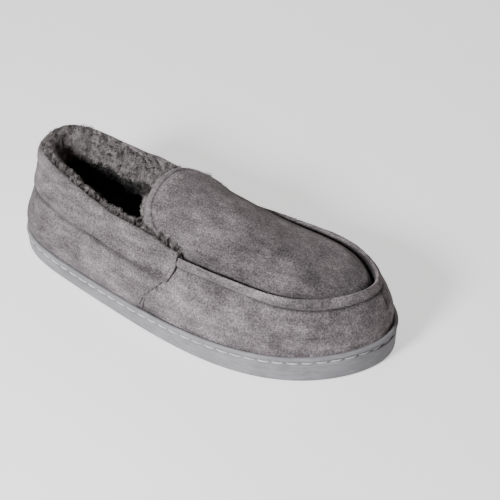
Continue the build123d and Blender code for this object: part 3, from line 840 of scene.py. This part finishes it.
def make_apron(ex, ey):
    """Crowned suede apron: turned down into the groove along the ridge, free at the tab."""
    rows = 150
    share = (1 - (1 - np.linspace(0, 1, rows)) ** 1.35)[:, None]
    x = APRON_CENTRE[0] + (ex - APRON_CENTRE[0])[None, :] * share
    y = APRON_CENTRE[1] + (ey - APRON_CENTRE[1])[None, :] * share
    z = apron_height(x, y)
    gap = np.hypot(x - ex[None, :], y - ey[None, :])
    free = 1 - fade(ex, -9 * UNIT, 5 * UNIT)[None, :]
    turned_down = 2.4 * (1 - fade(gap, 0, 13 * UNIT)) + 7.5 * (1 - np.clip(gap / (4.0 * UNIT), 0, 1)) ** 1.9
    rounded_edge = 3.0 * (1 - np.clip(gap / (3.6 * UNIT), 0, 1)) ** 2.4
    stitch_groove = near(gap - TAB_GROOVE, 0.9)
    z = z - ((1 - free) * turned_down + free * (rounded_edge + stitch_groove)) * UNIT
    grid = np.stack([x, y, z], -1)
    relief = 0.95 * ripple(grid, 40.0, 71) + 0.38 * ripple(grid * np.array([0.6, 1, 1]), 15.0, 72)
    relief = relief + 0.10 * ripple(grid, 5.0, 73)
    grid[..., 2] += relief * UNIT * fade(gap, 0, 9 * UNIT)
    # Painted shade where the apron turns down into the groove along the ridge, and in the tab's stitch
    # furrow.
    painted_shade = (1 - free) * near(gap, 3.0) + free * stitch_groove
    add_suede("apron_suede", grid, ["apron"], painted_shade, closed=True)


TAB_MIDDLE = 12.0 * UNIT                     # x of the place that the tab's edge curves about


def tab_path(ex, ey, inwards, drop):
    """Points along the tab's free edge, from the inner corner to the outer one."""
    free = np.where(ex < 1.5 * UNIT)[0]
    dx, dy = TAB_MIDDLE - ex[free], ey[free].mean() - ey[free]
    size = np.hypot(dx, dy)
    x, y = ex[free] + dx / size * inwards, ey[free] + dy / size * inwards
    return np.stack([x, y, apron_height(x, y) - drop], -1)


def make_tab_edging(ex, ey):
    """Thin bound edge round the tab and the row of stitches inside it."""
    edge = tab_path(ex, ey, -0.3 * UNIT, 3.5 * UNIT)
    fine = np.linspace(0, len(edge) - 1, 500)
    path = points_at(edge, fine, np.arange(len(edge)))
    wave = 0.12 * np.array([noise.noise(Vector((n * 0.35, 2.0, 5.0))) for n in range(len(path))])
    points, faces = tube(path, (1.0 + wave) * 1.15 * UNIT, sides=12, flat=0.75)
    add_mesh("tab_edge_binding", points, faces, binding_cloth, ["tab_binding"])
    sewn = tab_path(ex, ey, TAB_ROW, 0.35 * UNIT)
    points, faces = stitch_run(sewn, 3.8 * UNIT, 3.1 * UNIT, 0.32 * UNIT, sink=0.3 * UNIT)
    add_mesh("tab_thread", points, faces, upper_thread, ["tab_stitches"])


# ------------------------------------------------------------------ fleece
STRAND_SEGMENTS, STRAND_SIDES = 4, 3
STRAND_DROOP, STRAND_CURL = 0.12, 0.13       # shares of a strand's length
CLUMP_PULL = 0.72


def strands(roots, directions, lengths, radius, clump_of):
    """Tapered three-sided fibres; a clump's fibres lean together at their tips."""
    count = len(roots)
    directions = directions / np.linalg.norm(directions, axis=1, keepdims=True)
    tips = roots + directions * lengths[:, None]
    groups = clump_of.max() + 1
    mean_tip = np.stack([np.bincount(clump_of, tips[:, axis], groups) for axis in range(3)], -1)
    mean_tip /= np.bincount(clump_of, minlength=groups)[:, None]
    tips = tips + (mean_tip[clump_of] - tips) * CLUMP_PULL
    sideways = rng.standard_normal((count, 3))
    curl = np.cross(directions, sideways)
    curl /= np.maximum(np.linalg.norm(curl, axis=1, keepdims=True), 1e-6)
    other = np.cross(directions, curl)
    phase = rng.uniform(0, TAU, count)
    rings = STRAND_SEGMENTS + 1
    steps = np.linspace(0, 1, rings)
    points = np.empty((count, rings, STRAND_SIDES, 3))
    for n, s in enumerate(steps):
        sway = (curl * np.sin(phase + s * 4.2)[:, None] + other * np.cos(phase + s * 4.2)[:, None])
        sway -= curl * np.sin(phase)[:, None] + other * np.cos(phase)[:, None]
        spine = roots + (tips - roots) * s + sway * (STRAND_CURL * lengths * s)[:, None]
        spine[:, 2] -= STRAND_DROOP * lengths * s * s
        width = radius * (1.0 - 0.75 * s)
        for k, angle in enumerate(np.arange(STRAND_SIDES) / STRAND_SIDES * TAU):
            points[:, n, k] = spine + (curl * math.cos(angle) + other * math.sin(angle)) * width
    first = (np.arange(count) * rings * STRAND_SIDES)[:, None, None]
    quads = (np.array(grid_faces(rings, STRAND_SIDES, wrap_columns=True))[None] + first).reshape(-1, 4)
    tip = (rings - 1) * STRAND_SIDES + np.arange(STRAND_SIDES)
    caps = tip[None] + first[:, 0]
    shade = np.broadcast_to(steps[None, :, None], points.shape[:3]).reshape(-1)
    return points.reshape(-1, 3), quads.tolist() + caps.tolist(), shade


def fleece_patch(name, surface, clumps, per_clump, spread, length, lift, material, thickness):
    """Tufts over a surface function (u, v) -> (point, normal); lift turns each tuft up or down."""
    u, v = rng.uniform(0, 1, clumps), rng.uniform(0, 1, clumps)
    centre, normal = surface(u, v)
    clump_of = np.repeat(np.arange(clumps), per_clump)
    scatter = rng.standard_normal((clumps * per_clump, 3)) * spread * UNIT
    flat_normal = normal[clump_of]
    scatter -= (scatter * flat_normal).sum(1, keepdims=True) * flat_normal
    tilt = rng.standard_normal((clumps, 3)) * 0.42
    direction = flat_normal + tilt[clump_of] + rng.standard_normal(scatter.shape) * 0.22
    direction = direction + np.array([0, 0, lift])
    clump_length = length * UNIT * rng.uniform(0.65, 1.15, clumps)
    lengths = clump_length[clump_of] * rng.uniform(0.75, 1.1, len(scatter))
    roots = centre[clump_of] + scatter
    points, faces, shade = strands(roots, direction, lengths, thickness * UNIT, clump_of)
    add_mesh(name, points, faces, material, [], shade)


def collar_inside(u, v):
    """Inner face of the collar lining; v runs from the top edge down."""
    turns = LATERAL_JOIN + 0.02 + (MEDIAL_JOIN - TAU - LATERAL_JOIN - 0.04) * u
    x = raw_outline(turns)[0]
    top = curve(COLLAR, x)
    z = top - 0.9 * UNIT - v * 30 * UNIT
    inset = collar_roll(x, top) + 1.9 * UNIT + fade(v, 0, 0.25) * 2.6 * UNIT - 3.0 * UNIT * v * v
    px, py = outline(turns, inset)
    ahead = outline(turns, inset + 1.0)
    normal = np.stack([ahead[0] - px, ahead[1] - py, 0.5 - 1.1 * v], -1)
    return np.stack([px, py, z], -1), normal / np.linalg.norm(normal, axis=-1, keepdims=True)


LINING_FLOOR = 19.0 * UNIT                   # lowest height of the fleece's ground cloth


def add_ground_cloth(name, rows, node, shade, closed=False):
    """A sheet of fleece ground cloth from rows of points."""
    grid = np.array(rows)
    faces = grid_faces(*grid.shape[:2], wrap_columns=closed)
    add_mesh(name, grid.reshape(-1, 3), faces, fleece_base, [node],
             np.full(grid.size // 3, shade))


def make_collar_lining():
    along = np.linspace(0, 1, 360)
    rows = np.array([collar_inside(along, np.full_like(along, v))[0] for v in np.linspace(0, 1.85, 40)])
    rows[..., 2] = np.maximum(rows[..., 2], LINING_FLOOR)
    add_ground_cloth("collar_fleece_ground", rows, "collar_lining", 0.2)


def make_wall_lining():
    turns = np.linspace(LATERAL_JOIN, MEDIAL_JOIN, 360)
    x = raw_outline(turns)[0]
    rows = []
    for v in np.linspace(0, 1, 30):
        z = LINING_FLOOR + v * (curve(CREST, x) - 28 * UNIT)
        px, py = outline(turns, suede_inset(x, z) + 5.5 * UNIT)
        rows.append(np.stack([px, py, z], -1))
    add_ground_cloth("wall_fleece_ground", rows, "wall_lining", 0.2)


def make_apron_lining(ex, ey):
    rows = []
    for share in np.linspace(0, 1, 60):
        x = APRON_CENTRE[0] + (ex - APRON_CENTRE[0]) * share * 0.985
        y = APRON_CENTRE[1] + (ey - APRON_CENTRE[1]) * share * 0.97
        rows.append(np.stack([x, y, apron_height(x, y) - 4.6 * UNIT], -1))
    add_ground_cloth("apron_fleece_ground", rows, "apron_lining", 0.25, closed=True)


def footbed_surface(u, v):
    """Top of the footbed cover; u runs round it and v from its middle to its edge."""
    px, py = outline(u * TAU, 12.5 * UNIT)
    reach = np.sqrt(v)
    x = px * reach
    y = (py - 1.0) * reach + 1.0
    z = 18.8 * UNIT + 0.4 * UNIT * np.cos(x / 40)
    return np.stack([x, y, z], -1), np.broadcast_to(np.array([0, 0, 1.0]), (len(x), 3)).copy()


def make_footbed():
    """Ground cloth of the footbed cover, with an edge turned down into the cup."""
    around = np.arange(300) / 300
    rows = [footbed_surface(around, np.full_like(around, share**2))[0]
            for share in np.linspace(0.01, 1, 60)]
    rows.append(rows[-1] - np.array([0, 0, 4.0 * UNIT]))
    grid = np.array(rows)
    grid[:-1, :, 2] += 0.5 * ripple(grid[:-1], 9.0, 91) * UNIT
    add_ground_cloth("footbed_fleece_ground", grid, "footbed_cover", 0.3, closed=True)


def make_pile(ex, ey):
    """The visible pile: thick at the collar, thin deeper down, and a fringe under the tab's edge."""
    edge = tab_path(ex, ey, 2.2 * UNIT, 4.4 * UNIT)

    def upper_zone(u, v):
        return collar_inside(u, v * 0.55)

    def lower_zone(u, v):
        return collar_inside(u, 0.5 + v * 0.9)

    def under_tab(u, v):
        point = points_at(edge, u * (len(edge) - 1), np.arange(len(edge)))
        away = point - np.array([TAB_MIDDLE, edge[:, 1].mean(), 0])
        away[:, 2] = 0
        away /= np.linalg.norm(away, axis=1, keepdims=True)
        point = point - away * (v * 2.5 * UNIT)[:, None]
        away[:, 2] = -0.15
        return point, away / np.linalg.norm(away, axis=1, keepdims=True)

    fleece_patch("collar_pile", upper_zone, clumps=1900, per_clump=17, spread=1.5, length=7.8,
                 lift=0.18, material=fleece, thickness=0.36)
    fleece_patch("deep_pile", lower_zone, clumps=800, per_clump=8, spread=1.6, length=6.0,
                 lift=0.2, material=fleece_painted_shade, thickness=0.42)
    fleece_patch("footbed_pile", footbed_surface, clumps=1200, per_clump=7, spread=1.6, length=5.0,
                 lift=0.0, material=fleece_painted_shade, thickness=0.42)
    fleece_patch("tab_fringe", under_tab, clumps=330, per_clump=12, spread=1.0, length=7.4,
                 lift=-0.1, material=fleece, thickness=0.34)


# ------------------------------------------------------------------ build
make_outsole()
make_sole_stitches()
make_vamp_wall()
make_ridge()
make_ridge_stitches()
make_quarter(-1, "quarter_lateral_suede", "quarter_lateral")
make_quarter(1, "quarter_medial_suede", "quarter_medial")
make_collar()
make_collar_stitches()
make_quarter_stitches()
APRON_EDGE = apron_edge(900)
make_apron(*APRON_EDGE)
make_tab_edging(*APRON_EDGE)
make_collar_lining()
make_wall_lining()
make_apron_lining(*APRON_EDGE)
make_footbed()
make_pile(*APRON_EDGE)


# ------------------------------------------------------------------ stage, light and camera
CAMERA_AZIMUTH, CAMERA_ELEVATION = 32.08, 39.43
CAMERA_DISTANCE, CAMERA_LENS = 1005.8, 104.49
CAMERA_AIM = (24.91, 25.03, 29.88)
FLOOR_HALF = 3.0
FLOOR_GLOW, FLOOR_GLOW_TO_CAMERA = 0.14, 0.75
# Name, place, target, size in metres, watts and colour of each lamp.
LIGHTS = [
    ("key", (-0.10, -0.86, 0.60), (0.02, 0, 0.03), 0.24, 17.0, (1.0, 0.985, 1.0)),
    ("top", (-0.5, 0.1, 1.5), (0, 0, 0.03), 0.8, 3.6, (1.0, 0.96, 0.93)),
    ("back", (-0.7, 1.2, 0.7), (0, 0, 0.03), 0.9, 5.5, (1.0, 0.97, 0.95)),
    ("fill", (1.2, 0.6, 0.35), (0.1, 0, 0.03), 0.6, 0.5, (1.0, 0.5, 0.3)),
]


def make_floor():
    """Pale floor that glows a little, more to the camera than to the slipper."""
    mesh = bpy.data.meshes.new("floor")
    corners = [(x * FLOOR_HALF, y * FLOOR_HALF, 0) for x, y in ((-1, -1), (1, -1), (1, 1), (-1, 1))]
    mesh.from_pydata(corners, [], [(0, 1, 2, 3)])
    floor = bpy.data.objects.new("floor", mesh)
    bpy.context.scene.collection.objects.link(floor)
    nodes = Nodes("floor_paint")
    paint = nodes.ramp(nodes.noise(3, 2), (0.3, grey(0.86)), (0.7, grey(0.88)))
    seen = nodes.add("ShaderNodeLightPath").outputs["Is Camera Ray"]
    glow = nodes.math("ADD", nodes.math("MULTIPLY", seen, FLOOR_GLOW_TO_CAMERA), FLOOR_GLOW)
    nodes.surface({"Base Color": paint, "Roughness": 0.9, "Emission Color": (1, 1, 1, 1),
                   "Emission Strength": glow})
    mesh.materials.append(nodes.material)


def add_light(name, place, target, size, energy, colour):
    lamp = bpy.data.lights.new(name, "AREA")
    lamp.size = size
    lamp.energy = energy
    lamp.color = colour
    holder = bpy.data.objects.new(name, lamp)
    holder.location = place
    holder.rotation_euler = (Vector(target) - Vector(place)).to_track_quat("-Z", "Y").to_euler()
    bpy.context.scene.collection.objects.link(holder)


def make_world():
    world = bpy.data.worlds.new("studio")
    world.use_nodes = True
    background = world.node_tree.nodes["Background"]
    background.inputs["Color"].default_value = (1, 0.9, 0.84, 1)
    background.inputs["Strength"].default_value = 0.07
    bpy.context.scene.world = world


def make_camera():
    """Camera that looks from above on the toe's outer side; its sizes are millimetres and degrees."""
    azimuth, elevation = math.radians(CAMERA_AZIMUTH), math.radians(CAMERA_ELEVATION)
    back = Vector((math.sin(azimuth) * math.cos(elevation), -math.cos(azimuth) * math.cos(elevation),
                   math.sin(elevation)))
    aim = Vector(CAMERA_AIM) * MM
    data = bpy.data.cameras.new("camera")
    data.sensor_width = 36.0
    data.lens = CAMERA_LENS
    camera = bpy.data.objects.new("camera", data)
    camera.location = aim + back * CAMERA_DISTANCE * MM
    camera.rotation_euler = (-back).to_track_quat("-Z", "Y").to_euler()
    bpy.context.scene.collection.objects.link(camera)
    bpy.context.scene.camera = camera


make_floor()
make_world()
make_camera()
for light in LIGHTS:
    add_light(*light)
